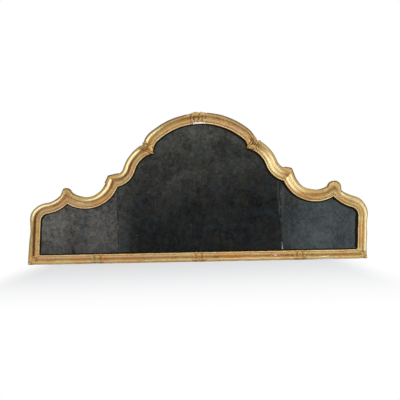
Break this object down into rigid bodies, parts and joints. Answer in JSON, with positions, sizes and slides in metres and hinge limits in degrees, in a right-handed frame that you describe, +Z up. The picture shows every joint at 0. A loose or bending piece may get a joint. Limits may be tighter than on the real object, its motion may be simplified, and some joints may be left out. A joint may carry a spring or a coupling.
{
  "type": "overmantel mirror",
  "caption": "Overmantel mirror: a serpentine gilded moulding frame with carved leaf clasps round old mirror plates, boarded behind, with swinging hanger rings.",
  "frame": {"origin": "middle of the bottom rail's underside, halfway between the frame's back and the top of its outer torus", "axes": "+X to the right as seen from the front, +Y towards the wall behind, +Z up"},
  "size_m": [1.5173, 0.0684, 0.6673],
  "materials": {
    "gilt_wood": "worn water gilding over red bole and white gesso on carved softwood",
    "mirror_glass": "old tin and mercury silvering, hazed and foxed",
    "pine": "bare aged pine",
    "iron": "dark hand-worked iron, dull"
  },
  "bodies": {
    "root": {"bottom_rail": "gilt_wood", "left_stile": "gilt_wood", "right_stile": "gilt_wood", "left_shoulder": "gilt_wood", "right_shoulder": "gilt_wood", "left_hollow": "gilt_wood", "right_hollow": "gilt_wood", "left_haunch": "gilt_wood", "right_haunch": "gilt_wood", "left_arch": "gilt_wood", "right_arch": "gilt_wood", "crest_leaf": "gilt_wood", "left_clasp": "gilt_wood", "right_clasp": "gilt_wood", "rail_leaves": "gilt_wood", "corner_leaves": "gilt_wood", "left_plate": "mirror_glass", "centre_plate": "mirror_glass", "right_plate": "mirror_glass", "left_seam_strip": "pine", "right_seam_strip": "pine", "glazing_blocks": "pine", "mitre_keys": "pine", "left_wing_board": "pine", "left_inner_board": "pine", "left_centre_board": "pine", "right_centre_board": "pine", "right_inner_board": "pine", "right_wing_board": "pine", "board_nails": "iron", "hanging_batten": "pine", "batten_screws": "iron", "left_strap": "iron", "right_strap": "iron", "strap_screws": "iron"},
    "left_ring": {"left_ring": "iron"},
    "right_ring": {"right_ring": "iron"}
  },
  "joints": [
    {"name": "left_ring_swing", "type": "hinge", "parent": "root", "child": "left_ring", "pos_m": [-0.235, 0.04188, 0.4], "axis": [1, 0, 0], "range_deg": [0, 180]},
    {"name": "right_ring_swing", "type": "hinge", "parent": "root", "child": "right_ring", "pos_m": [0.235, 0.04188, 0.4], "axis": [1, 0, 0], "range_deg": [0, 180]}
  ]
}
